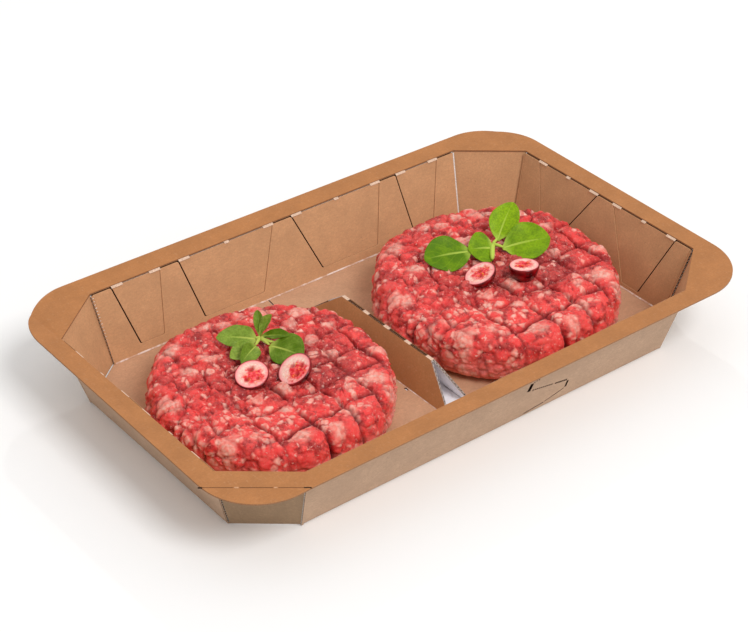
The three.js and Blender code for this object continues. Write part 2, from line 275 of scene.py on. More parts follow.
def draw_line(shape, points):
    """Draws a line through points, and gives its corners and its edges back."""
    corners = [shape.verts.new(p) for p in points]
    return corners, [shape.edges.new(pair) for pair in zip(corners, corners[1:])]


def draw_outline(sheet, outline):
    """Draws a closed outline flat on z = 0, and gives its corners back."""
    corners, _ = draw_line(sheet, [(x, y, 0) for x, y in outline])
    sheet.edges.new((corners[-1], corners[0]))
    return corners


def round_corners(sheet, corners, radius, segments):
    """Rounds the given corners of an outline."""
    bmesh.ops.bevel(
        sheet, geom=corners, offset=radius, offset_type="OFFSET", segments=segments,
        profile=0.5, affect="VERTICES", material=-1,
    )


def give_thickness(sheet, thick):
    """Pushes a flat sheet's back down by thick and sorts its faces into face, edge and back."""
    slide(sheet, bmesh.ops.extrude_face_region(sheet, geom=sheet.faces[:]), (0, 0, -thick))
    face_outwards(sheet)
    for face in sheet.faces:
        up = face.normal.z
        face.material_index = FACE if up > 0.5 else BACK if up < -0.5 else EDGE


def soften_rims(sheet, pairs, lip, slot):
    """Rounds the edges where two kinds of face meet, for each pair of kinds."""
    brim = [e for e in sheet.edges if {f.material_index for f in e.link_faces} in pairs]
    bmesh.ops.bevel(
        sheet, geom=brim, offset=lip, offset_type="OFFSET", segments=2, profile=0.5,
        affect="EDGES", material=slot, clamp_overlap=True,
    )


def cut_sheet(outline, thick, holes=(), rounded=(), radius=0.8, lip=0.12, lip_slot=EDGE):
    """A flat sheet cut to outline, face up at z = 0. rounded lists the outline's corners to round."""
    sheet = bmesh.new()
    loops = [draw_outline(sheet, loop) for loop in (outline, *holes)]
    if rounded:
        round_corners(sheet, [loops[0][i] for i in rounded], radius, 6)
    bmesh.ops.triangle_fill(sheet, edges=sheet.edges[:], use_beauty=True, normal=(0, 0, 1))
    if not holes:
        bmesh.ops.dissolve_limit(
            sheet, angle_limit=0.01, verts=sheet.verts[:], edges=sheet.edges[:], use_dissolve_boundaries=False
        )
    give_thickness(sheet, thick)
    if lip:
        soften_rims(sheet, ({FACE, EDGE}, {BACK, EDGE}), lip, lip_slot)
    return sheet


def oblong(left, near, right, far):
    return [(left, near), (right, near), (right, far), (left, far)]


def painted(shape, slot):
    """The same shape, all of it in one of its piece's materials."""
    for face in shape.faces:
        face.material_index = slot
    return shape


def lying_along(along, up, out, origin):
    """The matrix from a part's own (along, up, out) to the tray."""
    return Matrix((*[(along[i], up[i], out[i], origin[i]) for i in range(3)], (0, 0, 0, 1)))


def gather(whole, part, place=Matrix()):
    """Moves part by place and adds it to whole."""
    part.transform(place)
    carried = bpy.data.meshes.new("carried")
    part.to_mesh(carried)
    part.free()
    whole.from_mesh(carried)
    bpy.data.meshes.remove(carried)


def add_piece(name, shape, materials, smooth=False):
    """Turns a bmesh made in millimetres into a piece of the tray."""
    bmesh.ops.scale(shape, vec=(MM, MM, MM), verts=shape.verts)
    for face in shape.faces:
        face.smooth = smooth
    mesh = bpy.data.meshes.new(name)
    shape.to_mesh(mesh)
    shape.free()
    for material in materials:
        mesh.materials.append(material)
    piece = bpy.data.objects.new(name, mesh)
    scene.collection.objects.link(piece)
    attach(piece, "root")
    return piece


def ribbon(points, inward, thick):
    """A thin band that runs along points and reaches inward from them."""
    band = bmesh.new()
    _, edges = draw_line(band, points)
    slide(band, bmesh.ops.extrude_edge_only(band, edges=edges), inward)
    bmesh.ops.solidify(band, geom=band.faces[:], thickness=thick)
    face_outwards(band)
    return band


def fluted_edge(
    whole, start, end, across, inward, deep=0.6, liner_slot=FACE, ply=0.3, pitch=FLUTE_PITCH, swing=0.36,
    back_slot=None,
):
    """The cut edge of the board from start to end, as three plies: liner, flutes, liner.
    across is the board's thickness as a vector, and inward points into the board."""
    start, end, across = Vector(start), Vector(end), Vector(across)
    along = end - start
    inward = Vector(inward).normalized() * deep
    steps = max(4, round(along.length / pitch * 8))

    def line(share, wave=0.0, count=1):
        points = []
        for i in range(count + 1):
            t = i / count
            sway = wave * math.sin(2 * math.pi * t * along.length / pitch)
            points.append(start + along * t + across * (share + sway))
        return points

    for share, slot in ((0.06, liner_slot), (0.94, liner_slot if back_slot is None else back_slot)):
        gather(whole, painted(ribbon(line(share), inward, 0.11 * across.length), slot))
    gather(whole, painted(ribbon(line(0.5, swing, steps), inward, ply), PALE))
    # A thin band of painted shade behind the flutes darkens the hollows between them.
    behind = [start + across * share + inward * 0.8 for share in (0.08, 0.92)]
    gather(whole, painted(ribbon(behind, along, 0.08), DARK))


# ---------------------------------------------------------------- tray floor
# One sheet makes the floor, and its middle is pushed up into the divider. Its edges fold up
# into the walls along whitened creases, and one short slit runs in from the back fold.

HEIGHT = 33
FLOOR_TOP = 1
OPENING = {"length": 250, "width": 150.7, "cut_x": 26.1, "cut_y": 21}
FLOOR = {"length": 231.2, "width": 131.8, "cut_x": 19.9, "cut_y": 16}

DIVIDER_X = -1.25
DIVIDER_Y = -1
DIVIDER_FOOT = 7.15
DIVIDER_FOOT_LENGTH = 100
DIVIDER_RIDGE = 0.85
DIVIDER_RIDGE_LENGTH = 61
DIVIDER_TOP = 16.3


def eight_corners(form, out=0.0):
    """The eight corners of the tray's outline, anticlockwise from the right, moved out by out."""
    a, b = form["length"] / 2, form["width"] / 2
    cut = math.hypot(form["cut_x"], form["cut_y"])
    nx, ny = form["cut_y"] / cut, form["cut_x"] / cut
    x = a - form["cut_x"] + out * (1 - ny) / nx
    y = b - form["cut_y"] + out * (1 - nx) / ny
    a, b = a + out, b + out
    return [(a, y), (x, b), (-x, b), (-a, y), (-a, -y), (-x, -b), (x, -b), (a, -y)]


FLOOR_SLIT = [(-15.9, 65.6), (-15.4, 65.6), (-16.7, 55.8), (-17.2, 55.8)]
FLOOR_NICK = [(-10.0, -25.4), (-9.2, -25.8), (-9.0, -23.9), (-9.8, -23.4)]

floor_hole = oblong(
    DIVIDER_X - DIVIDER_FOOT, DIVIDER_Y - DIVIDER_FOOT_LENGTH / 2,
    DIVIDER_X + DIVIDER_FOOT, DIVIDER_Y + DIVIDER_FOOT_LENGTH / 2,
)
floor_shape = bmesh.new()
gather(
    floor_shape,
    cut_sheet(eight_corners(FLOOR, 0.5), 0.6, holes=[floor_hole, FLOOR_SLIT, FLOOR_NICK], lip=0.08),
    raised(FLOOR_TOP),
)
underside = cut_sheet(eight_corners(FLOOR, 0.75), 0.35, lip=0.0)
for face in underside.faces:
    face.material_index = OTHER if face.normal.z > 0.5 else BACK
gather(floor_shape, underside, raised(0.37))
for foot in (-1, 1):
    for end in (-1, 1):
        crease = ribbon(
            [(DIVIDER_X + foot * (DIVIDER_FOOT + 0.1), DIVIDER_Y + end * y, FLOOR_TOP + 0.1) for y in (0, 50)],
            (foot * 0.35, 0, -0.06), 0.12,
        )
        gather(floor_shape, painted(crease, PALE))
tray_floor = add_piece(
    "tray_floor", floor_shape, [KRAFT_FLOOR_LIT, SHADED_CUT, KRAFT_OUTSIDE, SHADED_PLY, FOLD_PAPER, GREY_BACK]
)

# ---------------------------------------------------------------- divider
# Two leaning panels of the floor sheet meet in a narrow ridge with four slots. The ridge's
# five bridges are crushed pale, and the open ends show the fluted edge and the grey underside.

DIVIDER_BOARD = 0.9
RIDGE_SLOTS = 4
RIDGE_SLOT_LENGTH = 10.6
RIDGE_SLOT_PITCH = 14.2

divider_shape = bmesh.new()
for side in (-1, 1):
    foot = Vector((DIVIDER_X + side * DIVIDER_FOOT, DIVIDER_Y, FLOOR_TOP))
    top = Vector((DIVIDER_X + side * DIVIDER_RIDGE, DIVIDER_Y, DIVIDER_TOP))
    up = (top - foot).normalized()
    along = Vector((0, side, 0))
    out = along.cross(up)
    rise = (top - foot).length
    place = lying_along(along, up, out, foot)
    foot_half, ridge_half = DIVIDER_FOOT_LENGTH / 2, DIVIDER_RIDGE_LENGTH / 2
    outline = [(-foot_half, 0), (foot_half, 0), (ridge_half, rise), (-ridge_half, rise)]
    gather(divider_shape, cut_sheet(outline, DIVIDER_BOARD * 0.25, lip=0.05, lip_slot=FACE), place)
    inner = [(x * 0.992, y) for x, y in outline]
    gather(
        divider_shape, cut_sheet(inner, DIVIDER_BOARD * 0.7, lip=0.0),
        place @ raised(-DIVIDER_BOARD * 0.3),
    )
    for end in (-1, 1):
        start = place @ Vector((end * foot_half, 0.2, -0.05))
        finish_at = place @ Vector((end * ridge_half, rise, -0.05))
        fluted_edge(divider_shape, start, finish_at, -out * DIVIDER_BOARD, -end * along, 0.55, PALE, 0.2, 1.9)

slot_places = [(i - (RIDGE_SLOTS - 1) / 2) * RIDGE_SLOT_PITCH for i in range(RIDGE_SLOTS)]
ridge_end = DIVIDER_RIDGE_LENGTH / 2
stops = [-ridge_end]
for y in slot_places:
    stops += [y - RIDGE_SLOT_LENGTH / 2, y + RIDGE_SLOT_LENGTH / 2]
stops.append(ridge_end)
for start, end in zip(stops[0::2], stops[1::2]):
    bridge = painted(cut_sheet(oblong(-DIVIDER_RIDGE, start, DIVIDER_RIDGE, end), 0.45, lip=0.16), OTHER)
    gather(divider_shape, bridge, Matrix.Translation((DIVIDER_X, DIVIDER_Y, DIVIDER_TOP + 0.05)))
divider = add_piece(
    "divider", divider_shape, [KRAFT_DIVIDER_SHADED, SHADED_CUT, GREY_BACK, SHADED_PLY, CUT_EDGE, BRIDGE_PAPER]
)

# ---------------------------------------------------------------- walls
# Eight sloping sides. The four long walls are two plies of board, and the inner ply has a notch
# for every flap of the rim. The four corner sides are a single ply that sits deeper, so the cut
# ends of the walls stand out beside them.

LINING = 0.9
SKIN = 0.5
WALL_THICK = 2.3
CORNER_INSET = 1.15
CORNER_BOARD = 0.2
NOTCH_SLACK = -0.15
NOTCH_GAP = 0.9
END_CUT = 0.5
END_OVERHANG = 0.2
TOP_GAP = 0.8
STRIP_TOP, STRIP_REACH, STRIP_PITCH = -1.0, 0.75, 1.5
INLAY_TOP, INLAY_INSET = -1.6, 0.6
CORNER_OVERLAP = 0.9
SKIN_TOP = 31.9
SKIN_LOW = 1.3

LONG_FLAPS = [
    {"start": 5, "end": 55, "lean_in": 11.5, "lean_out": 7.4, "reach": 29.4},
    {"start": 64.5, "end": 89, "lean_in": 4.7, "lean_out": 8.1, "reach": 29.4},
]
SHORT_FLAPS = [{"start": 4.8, "end": 44.4, "lean_in": 18, "lean_out": 12, "reach": 31.6}]
SIDE_NAMES = ["back_right", "back", "back_left", "left", "front_left", "front", "front_right", "right"]
FLAPS_OF = {"back": LONG_FLAPS, "front": LONG_FLAPS, "left": SHORT_FLAPS, "right": SHORT_FLAPS}


def side_frame(index):
    """Where a side lies: a matrix from (along the wall, up its slope, into the tray) to the tray,
    with half the side's width at the fold and at the floor, and the length of the slope."""
    upper = [Vector((x, y, HEIGHT)) for x, y in eight_corners(OPENING)]
    lower = [Vector((x, y, FLOOR_TOP)) for x, y in eight_corners(FLOOR)]
    p, q = upper[index], upper[(index + 1) % 8]
    r, s = lower[index], lower[(index + 1) % 8]
    along = (p - q).normalized()
    origin = (p + q) / 2
    slope = origin - (r + s) / 2
    up = slope.normalized()
    place = lying_along(along, up, along.cross(up), origin)
    return place, (p - q).length / 2, (r - s).length / 2, slope.length


def flap_outline(flap, side, slack, top):
    """A flap's four corners on its wall, widened by slack, its top edge at height top."""
    reach = flap["reach"]
    low = -reach - slack

    def inner(v):
        return flap["start"] - flap["lean_in"] * v / reach - slack

    def outer(v):
        return flap["end"] + flap["lean_out"] * v / reach + slack

    points = [(inner(top), top), (inner(low), low), (outer(low), low), (outer(top), top)]
    if side < 0:
        points.reverse()
    return [(side * u, v) for u, v in points]


def slope_place(z, depth, place):
    """How far up the slope a plane that lies depth behind the wall's face is at height z."""
    up, inward = place.col[1].z, place.col[2].z
    return (z - HEIGHT + depth * inward) / up


LOCK_CUTS = [
    (15.9, 20.6, 15.0, 16.0, 1.9, 0), (16.6, 20.9, 20.6, 21.2, 0.6, 0.7), (17.3, 15.9, 30.0, 13.2, 0.8, 0.8),
    (30.6, 13.0, 38.9, 11.3, 1.0, 1.0), (38.5, 10.7, 38.3, 6.7, 1.1, 0), (37.7, 6.4, 27.6, 3.4, 0.45, 0),
    (27.2, 3.3, 16.6, 1.9, 0.55, 0),
]


def cut_line(start, end, width, dash):
    """Slits along a line as holes for cut_sheet: one slit, or a row of them of length dash."""
    along = (end - start).normalized()
    half = Vector((-along.y, along.x)) * width / 2
    length = (end - start).length
    pitch = FLUTE_PITCH / 2 if dash else length
    slits = []
    for i in range(max(1, int(length / pitch))):
        first = start + along * pitch * i
        last = first + along * (dash or length - 0.2)
        slits.append([tuple(first - half), tuple(last - half), tuple(last + half), tuple(first + half)])
    return slits


lining_shape, skin_shape, corner_shape, fold_shape = (bmesh.new() for _ in range(4))
for index, name in enumerate(SIDE_NAMES):
    place, top_half, low_half, slope = side_frame(index)

    def half_at(v):
        return top_half + (top_half - low_half) * v / slope

    if name in FLAPS_OF:
        top = -TOP_GAP
        outline, rounded = [(END_CUT - half_at(top), top)], []
        notches = [(flap, side) for side in (-1, 1) for flap in FLAPS_OF[name]]
        notches.sort(key=lambda item: item[1] * item[0]["start"])
        for flap, side in notches:
            rounded += [len(outline) + i for i in range(4)]
            notch = flap_outline(flap, side, NOTCH_SLACK, top)
            near = (0, 1) if name in ("back", "front") else (2, 3)
            for i in near:
                notch[i] = (notch[i][0] + (NOTCH_GAP if i > 1 else -NOTCH_GAP), notch[i][1])
            outline += notch
        outline += [(half_at(top) - END_CUT, top), (low_half - END_CUT, -slope), (END_CUT - low_half, -slope)]
        lining = cut_sheet(outline, LINING, rounded=rounded, radius=0.7, lip=0.15, lip_slot=FACE)
        gather(lining_shape, lining, place)
        skin_top = slope_place(SKIN_TOP, WALL_THICK, place)
        skin_low = slope_place(SKIN_LOW, WALL_THICK, place)
        skin = [
            (-half_at(skin_top), skin_top), (-half_at(skin_low), skin_low),
            (half_at(skin_low), skin_low), (half_at(skin_top), skin_top),
        ]
        holes = []
        if name == "front":
            for x0, z0, x1, z1, width, dash in LOCK_CUTS:
                ends = [Vector((-x, slope_place(z, WALL_THICK, place))) for x, z in ((x0, z0), (x1, z1))]
                holes += cut_line(*ends, width, dash)
        backing = cut_sheet(skin, SKIN, holes=holes, lip=0.0 if holes else 0.1)
        # The skin's inner face and the sides of its lock cuts take the shade slot: painted shade seen through
        # the slits and gaps.
        for face in backing.faces:
            face.material_index = {FACE: DARK, EDGE: DARK if holes else EDGE, BACK: FACE}[face.material_index]
        gather(skin_shape, backing, place @ raised(SKIN - WALL_THICK))
        heel_depth = WALL_THICK - 0.2
        heel = [
            place @ Vector((side * half_at(skin_low), slope_place(SKIN_LOW, heel_depth, place), -heel_depth))
            for side in (-1, 1)
        ]
        under = place.to_3x3() @ Vector((0, 0, 1))
        under = Vector((under.x, under.y, 0)).normalized() * 1.5 + Vector((0, 0, -SKIN_LOW + 0.1))
        gather(skin_shape, ribbon(heel, under, 0.3))
        # A thin sheet of painted shade lies just behind the lining, so the gaps round the flaps read dark.
        top_inlay, low_inlay = half_at(INLAY_TOP) - INLAY_INSET, low_half - INLAY_INSET
        inlay = [(-top_inlay, INLAY_TOP), (-low_inlay, -slope), (low_inlay, -slope), (top_inlay, INLAY_TOP)]
        core = painted(cut_sheet(inlay, 0.3, lip=0.0), DARK)
        gather(skin_shape, core, place @ raised(-LINING - 0.03))
        for end in (-1, 1):
            start = place @ Vector((end * (top_half + END_OVERHANG), STRIP_TOP, 0))
            finish_at = place @ Vector((end * (low_half + END_OVERHANG), -slope, 0))
            ragged = (name == "back" and start.x < 0) or (name == "right" and start.y < 0)
            worn = name == "back" and start.x > 0
            fluted_edge(
                lining_shape, start, finish_at, place.to_3x3() @ Vector((0, 0, -WALL_THICK)),
                place.to_3x3() @ Vector((-end, 0, 0)), STRIP_REACH, PALE if worn else FACE,
                0.34 if ragged else 0.28, STRIP_PITCH, 0.37 if ragged else 0.22, OTHER,
            )
        fold = ribbon(
            [place @ Vector((x, -slope + 0.42, 0.03)) for x in (-low_half, low_half)],
            place.to_3x3() @ Vector((0, -0.42, 0.62)), 0.16,
        )
        gather(fold_shape, fold)
    else:
        top_out, low_out = top_half + CORNER_OVERLAP, low_half + CORNER_OVERLAP
        outline = [(-top_out, -0.5), (-low_out, -slope), (low_out, -slope), (top_out, -0.5)]
        panel = cut_sheet(outline, CORNER_BOARD, lip=0.0)
        gather(corner_shape, panel, place @ raised(-CORNER_INSET))

wall_lining = add_piece(
    "wall_lining", lining_shape, [KRAFT_INSIDE, NOTCH_CUT, SHADED_PLY, SHADED_PLY, BRIGHT_PLY, KRAFT_OUTSIDE]
)
wall_skin = add_piece("wall_skin", skin_shape, [KRAFT_OUTSIDE, SHADED_CUT, KRAFT_OUTSIDE, SHADED_PLY])
corner_sides = add_piece("corner_sides", corner_shape, [KRAFT_INSIDE, SHADED_CUT, KRAFT_CORNER_SHADED])
floor_folds = add_piece("floor_folds", fold_shape, [FOLD_PAPER])
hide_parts("tray_body")

# ---------------------------------------------------------------- rim and its folded flaps
# A second sheet lies over the tray as a flat rim. Its flaps fold down into the wall's notches
# and hang on short crushed bridges, with an open slit between them.

RIM_LENGTH = 270
RIM_WIDTH = 170
RIM_RADIUS = 27.5
RIM_BOARD = 0.8
RIM_SETBACK = 0.7
RIM_LIP = 0.14
FLAP_BOARD = 0.5
FLAP_DEPTH = 0.42
FLAP_TOP = -0.75
BRIDGE_LENGTH = 5.5
MIDDLE_BRIDGE = 2.4
BRIDGE_CURVE = [(-0.22, -1.22), (-0.08, -1.05), (0.2, -0.88), (0.45, -0.74), (0.75, -0.6)]
TAB_LEG_X = 32
TAB_LEG_Y = 25
TAB_BEND = 5

tab_corner = Vector((-RIM_LENGTH / 2, -RIM_WIDTH / 2 + TAB_LEG_Y, HEIGHT))
tab_far = Vector((-RIM_LENGTH / 2 + TAB_LEG_X, -RIM_WIDTH / 2, HEIGHT))
crease_way = (tab_far - tab_corner).normalized()
tab_out = Vector((crease_way.y, -crease_way.x, 0))


def rim_sheet(keep_tab):
    """The rim's flat ring, cut along the corner tab's crease. One side of the cut is kept."""
    a, b = RIM_LENGTH / 2, RIM_WIDTH / 2
    ring = bmesh.new()
    round_corners(ring, draw_outline(ring, oblong(a, b, -a, -b)), RIM_RADIUS, 28)
    draw_outline(ring, eight_corners(OPENING, RIM_SETBACK))
    bmesh.ops.triangle_fill(ring, edges=ring.edges[:], use_beauty=True, normal=(0, 0, 1))
    bmesh.ops.bisect_plane(
        ring, geom=ring.verts[:] + ring.edges[:] + ring.faces[:], dist=0.0001,
        plane_co=(tab_corner.x, tab_corner.y, 0), plane_no=tab_out,
        clear_outer=not keep_tab, clear_inner=keep_tab,
    )
    give_thickness(ring, RIM_BOARD)
    soften_rims(ring, ({FACE, EDGE},), RIM_LIP, FACE)
    return ring


RIM_CUT = raw_edge("rim_cut", rgb(166, 120, 86))
# The tab's crease: a brown line of painted shade along the fold, black slits of painted shade at its ends, and
# pale torn nicks between.
CREASE_SHADE = raw_edge("crease_shade", rgb(128, 84, 54))
RIM_FRAY = raw_edge("rim_fray", rgb(222, 170, 130))
CREASE_MARKS = [
    (-0.03, 0.01, 0.6, 1), (0.01, 0.29, 0.34, 0), (0.3, 0.34, 0.8, 2), (0.35, 0.65, 0.38, 0),
    (0.66, 0.69, 0.7, 2), (0.7, 0.93, 0.3, 0), (0.93, 1.0, 0.6, 1),
]
rim_shape = bmesh.new()
gather(rim_shape, rim_sheet(keep_tab=False), raised(HEIGHT))
tab_hinge = (
    Matrix.Translation(tab_corner)
    @ Matrix.Rotation(math.radians(TAB_BEND), 4, crease_way)
    @ Matrix.Translation(-tab_corner)
)
gather(rim_shape, rim_sheet(keep_tab=True), tab_hinge @ raised(HEIGHT))

FOLD_X, RIM_SPAN_X = 125.8, 9.2
FOLD_Y, RIM_SPAN_Y = 76.1, 8.9
LIFT_BACK, LIFT_SLANT, LIFT_LEFT, LIFT_RIGHT = 1.7, 0.9, 2.4, 0.8


def grown(value, start, span):
    """How far value has come from start, as a share of span held between 0 and 1."""
    return min(1.0, max(0.0, (value - start) / span))


for v in rim_shape.verts:
    x, y = v.co.x, v.co.y
    back = grown(y, FOLD_Y, RIM_SPAN_Y) * (LIFT_BACK - LIFT_SLANT * x / 135)
    left = grown(-x, FOLD_X, RIM_SPAN_X) * grown(y, 30, 40) * LIFT_LEFT
    right = grown(x, FOLD_X, RIM_SPAN_X) * grown(y, -40, 60) * LIFT_RIGHT
    v.co.z += max(back, left, right)

crease_shape = bmesh.new()
crease_length = (tab_far - tab_corner).length
lay = lying_along(crease_way, (-crease_way.y, crease_way.x, 0), (0, 0, 1), tab_corner)
for start, end, width, slot in CREASE_MARKS:
    near, far = start * crease_length, end * crease_length
    mark = painted(cut_sheet(oblong(near, -width / 2, far, width / 2), 0.3, lip=0.0), slot)
    gather(crease_shape, mark, lay @ raised(0.03))
tab_crease = add_piece("tab_crease", crease_shape, [CREASE_SHADE, SHADED_PLY, RIM_FRAY])

flap_shape = bmesh.new()
bridge_shape = bmesh.new()
for index, name in enumerate(SIDE_NAMES):
    if name not in FLAPS_OF:
        continue
    place, _, _, _ = side_frame(index)
    turn = place.to_3x3()
    for flap in FLAPS_OF[name]:
        for side in (-1, 1):
            outline = flap_outline(flap, side, 0, FLAP_TOP)
            sheet = cut_sheet(outline, FLAP_BOARD, rounded=[1, 2], radius=0.9, lip=0.1, lip_slot=FACE)
            gather(flap_shape, sheet, place @ raised(-FLAP_DEPTH))
            spans = [
                (flap["start"], flap["start"] + BRIDGE_LENGTH),
                (flap["end"] - BRIDGE_LENGTH, flap["end"]),
            ]
            if flap["end"] - flap["start"] > 30:
                middle = (flap["start"] + flap["end"]) / 2
                spans.insert(1, (middle - MIDDLE_BRIDGE / 2, middle + MIDDLE_BRIDGE / 2))
            for start, end in spans:
                outward = Vector((place.col[1].x, place.col[1].y, 0)).normalized()
                strap = bmesh.new()
                edges = []
                for u in sorted((side * start, side * end)):
                    base = place @ Vector((u, 0, 0))
                    curve = [base + outward * d + Vector((0, 0, h)) for d, h in BRIDGE_CURVE]
                    edges += draw_line(strap, curve)[1]
                bmesh.ops.bridge_loops(strap, edges=edges)
                bmesh.ops.solidify(strap, geom=strap.faces[:], thickness=0.18)
                face_outwards(strap)
                gather(bridge_shape, strap)
            if name in ("back", "front"):
                slit = sorted((side * spans[0][1], side * spans[-1][0]))
                start = place @ Vector((slit[0], FLAP_TOP + 0.05, -FLAP_DEPTH + 0.02))
                finish_at = place @ Vector((slit[1], FLAP_TOP + 0.05, -FLAP_DEPTH + 0.02))
                fluted_edge(
                    flap_shape, start, finish_at, turn @ Vector((0, 0, -FLAP_BOARD - 0.15)),
                    turn @ Vector((0, -1, 0)), 0.3,
                )

rim = add_piece("rim", rim_shape, [KRAFT_RIM, RIM_CUT, KRAFT_OUTSIDE])
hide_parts("rim_frame")
rim_flaps = add_piece("rim_flaps", flap_shape, [KRAFT_INSIDE, SHADED_CUT, KRAFT_INSIDE, SHADED_PLY, CUT_EDGE])
rim_bridges = add_piece("rim_bridges", bridge_shape, [BRIDGE_PAPER])

# ---------------------------------------------------------------- beef patties
# Two patties of coarse ground beef, pressed into square pillows by a grid of deep lines. Lumps
# of lean and pale fat are packed together, and the surface is wet and bright red.

FORM_RADIUS, FORM_HEIGHT = 54, 22.6
PATTY_BASE = 1.05
PATTY_EDGE = 8.0
PATTY_HOLLOW = 1.8
PATTY_CUTS = 2
LUMP_SIZE, SMALL_LUMP_SIZE = 8.0, 3.1
TOP_SHARE, SIDE_SHARE = 0.56, 0.36
PRESS_ACROSS = (-58.0, -41.5, -26.5, -6.5, 10.0, 27.0, 43.0, 60.0)
PRESS_ALONG = (-58.0, -39.0, -22.8, -6.5, 9.5, 26.0, 42.0, 58.0)
FAT_LUMPS = [
    (-24, 41, 3.4), (-30, 21, 3.6), (-47, 5, 3.0), (-3, 46, 3.0), (4, 43, 3.4), (-11, -26, 3.0),
    (20, -31, 2.6), (-17, -44, 4.6), (4, -29, 2.4), (-50, -16, 2.2), (-44, -17, 2.4),
    (33, -31, 4.6), (47, -16, 3.4), (42, 13, 3.0), (24, 41, 4.0), (-44, -31, 2.6),
    (-32, -34, 3.0), (-29, 39, 4.0), (10, -43, 3.8), (-20, -18, 2.0), (36, -40, 4.2), (-2, -50, 3.4),
]


def patty_profile(radius, height):
    """The patty's outline as (distance from its middle, height, distance walked along it)."""
    flat = radius - PATTY_EDGE
    steps = 40
    points = [(flat * i / steps, height) for i in range(steps)]
    for i in range(steps + 1):
        turn = math.pi * i / steps
        swell = math.sin(turn) ** 0.72
        rise = math.copysign(abs(math.cos(turn)) ** 0.8, math.cos(turn))
        inset = flat if turn < math.pi / 2 else flat + (math.cos(turn)) * PATTY_HOLLOW
        points.append((inset + (radius - inset) * swell, height / 2 * (1 + rise)))
    foot = points[-1][0]
    points += [(foot * (1 - i / steps), 0.0) for i in range(1, steps + 1)]
    walked, table = 0.0, []
    for i, (r, z) in enumerate(points):
        if i:
            walked += math.hypot(r - points[i - 1][0], z - points[i - 1][1])
        table.append((r, z, walked))
    return table


class PattyForm:
    """The smooth puck that the relief is laid on, read by distance walked from its middle."""

    def __init__(self, radius, height):
        self.table = patty_profile(radius, height)
        self.walk = [row[2] for row in self.table]
        self.top_end = radius - PATTY_EDGE
        self.side_end = next(row[2] for row in self.table if row[1] < 0.01)
        self.length = self.walk[-1]

    def at(self, walked):
        """Distance from the middle, height, and how both change along the outline."""
        walked = min(max(walked, 0.0), self.length - 1e-6)
        low = min(bisect.bisect_right(self.walk, walked) - 1, len(self.table) - 2)
        (r0, z0, s0), (r1, z1, s1) = self.table[low], self.table[low + 1]
        share = (walked - s0) / max(s1 - s0, 1e-9)
        slope = ((r1 - r0) / max(s1 - s0, 1e-9), (z1 - z0) / max(s1 - s0, 1e-9))
        return r0 + (r1 - r0) * share, z0 + (z1 - z0) * share, slope

    def walked_for(self, share):
        """Spreads an even share of the mesh over top, side and underside."""
        if share < TOP_SHARE:
            return self.top_end * math.sqrt(share / TOP_SHARE)
        if share < TOP_SHARE + SIDE_SHARE:
            return self.top_end + (self.side_end - self.top_end) * (share - TOP_SHARE) / SIDE_SHARE
        rest = (1 - share) / (1 - TOP_SHARE - SIDE_SHARE)
        return self.length - (self.length - self.side_end) * math.sqrt(max(rest, 0.0))


def step_between(value, low, high):
    """A soft step from 0 at low to 1 at high."""
    share = min(1.0, max(0.0, (value - low) / (high - low)))
    return share * share * (3 - 2 * share)


def dice_at(point, salt=0.0):
    """An even random number that is fixed for a lump of meat."""
    roll = math.sin(point[0] * 12.9898 + point[1] * 78.233 + point[2] * 37.719 + salt) * 43758.5453
    return roll - math.floor(roll)


def cells(x, y, z, size, phase):
    """Lumps about size across: how far from the crease between them, and which lump this is."""
    found = noise.voronoi(Vector(((x + phase) / size, (y - phase) / size, z / size)))
    return (found[0][1] - found[0][0]) * size, found[1][0]


def nearest_line(value, lines):
    """Distance to the nearest press line, and the number of the strip the value lies in."""
    strip = bisect.bisect_right(lines, value)
    away = min(abs(value - line) for line in lines[max(0, strip - 1):strip + 1])
    return away, strip


def meat_drift(x, y, z, size):
    """A smooth sideways push that wanders over the given size, the same in every run."""
    place = Vector((x, y, z)) / size
    return Vector([noise.noise(place + Vector((step, -step, 2 * step))) for step in (0.3, 31.7, 67.1)])


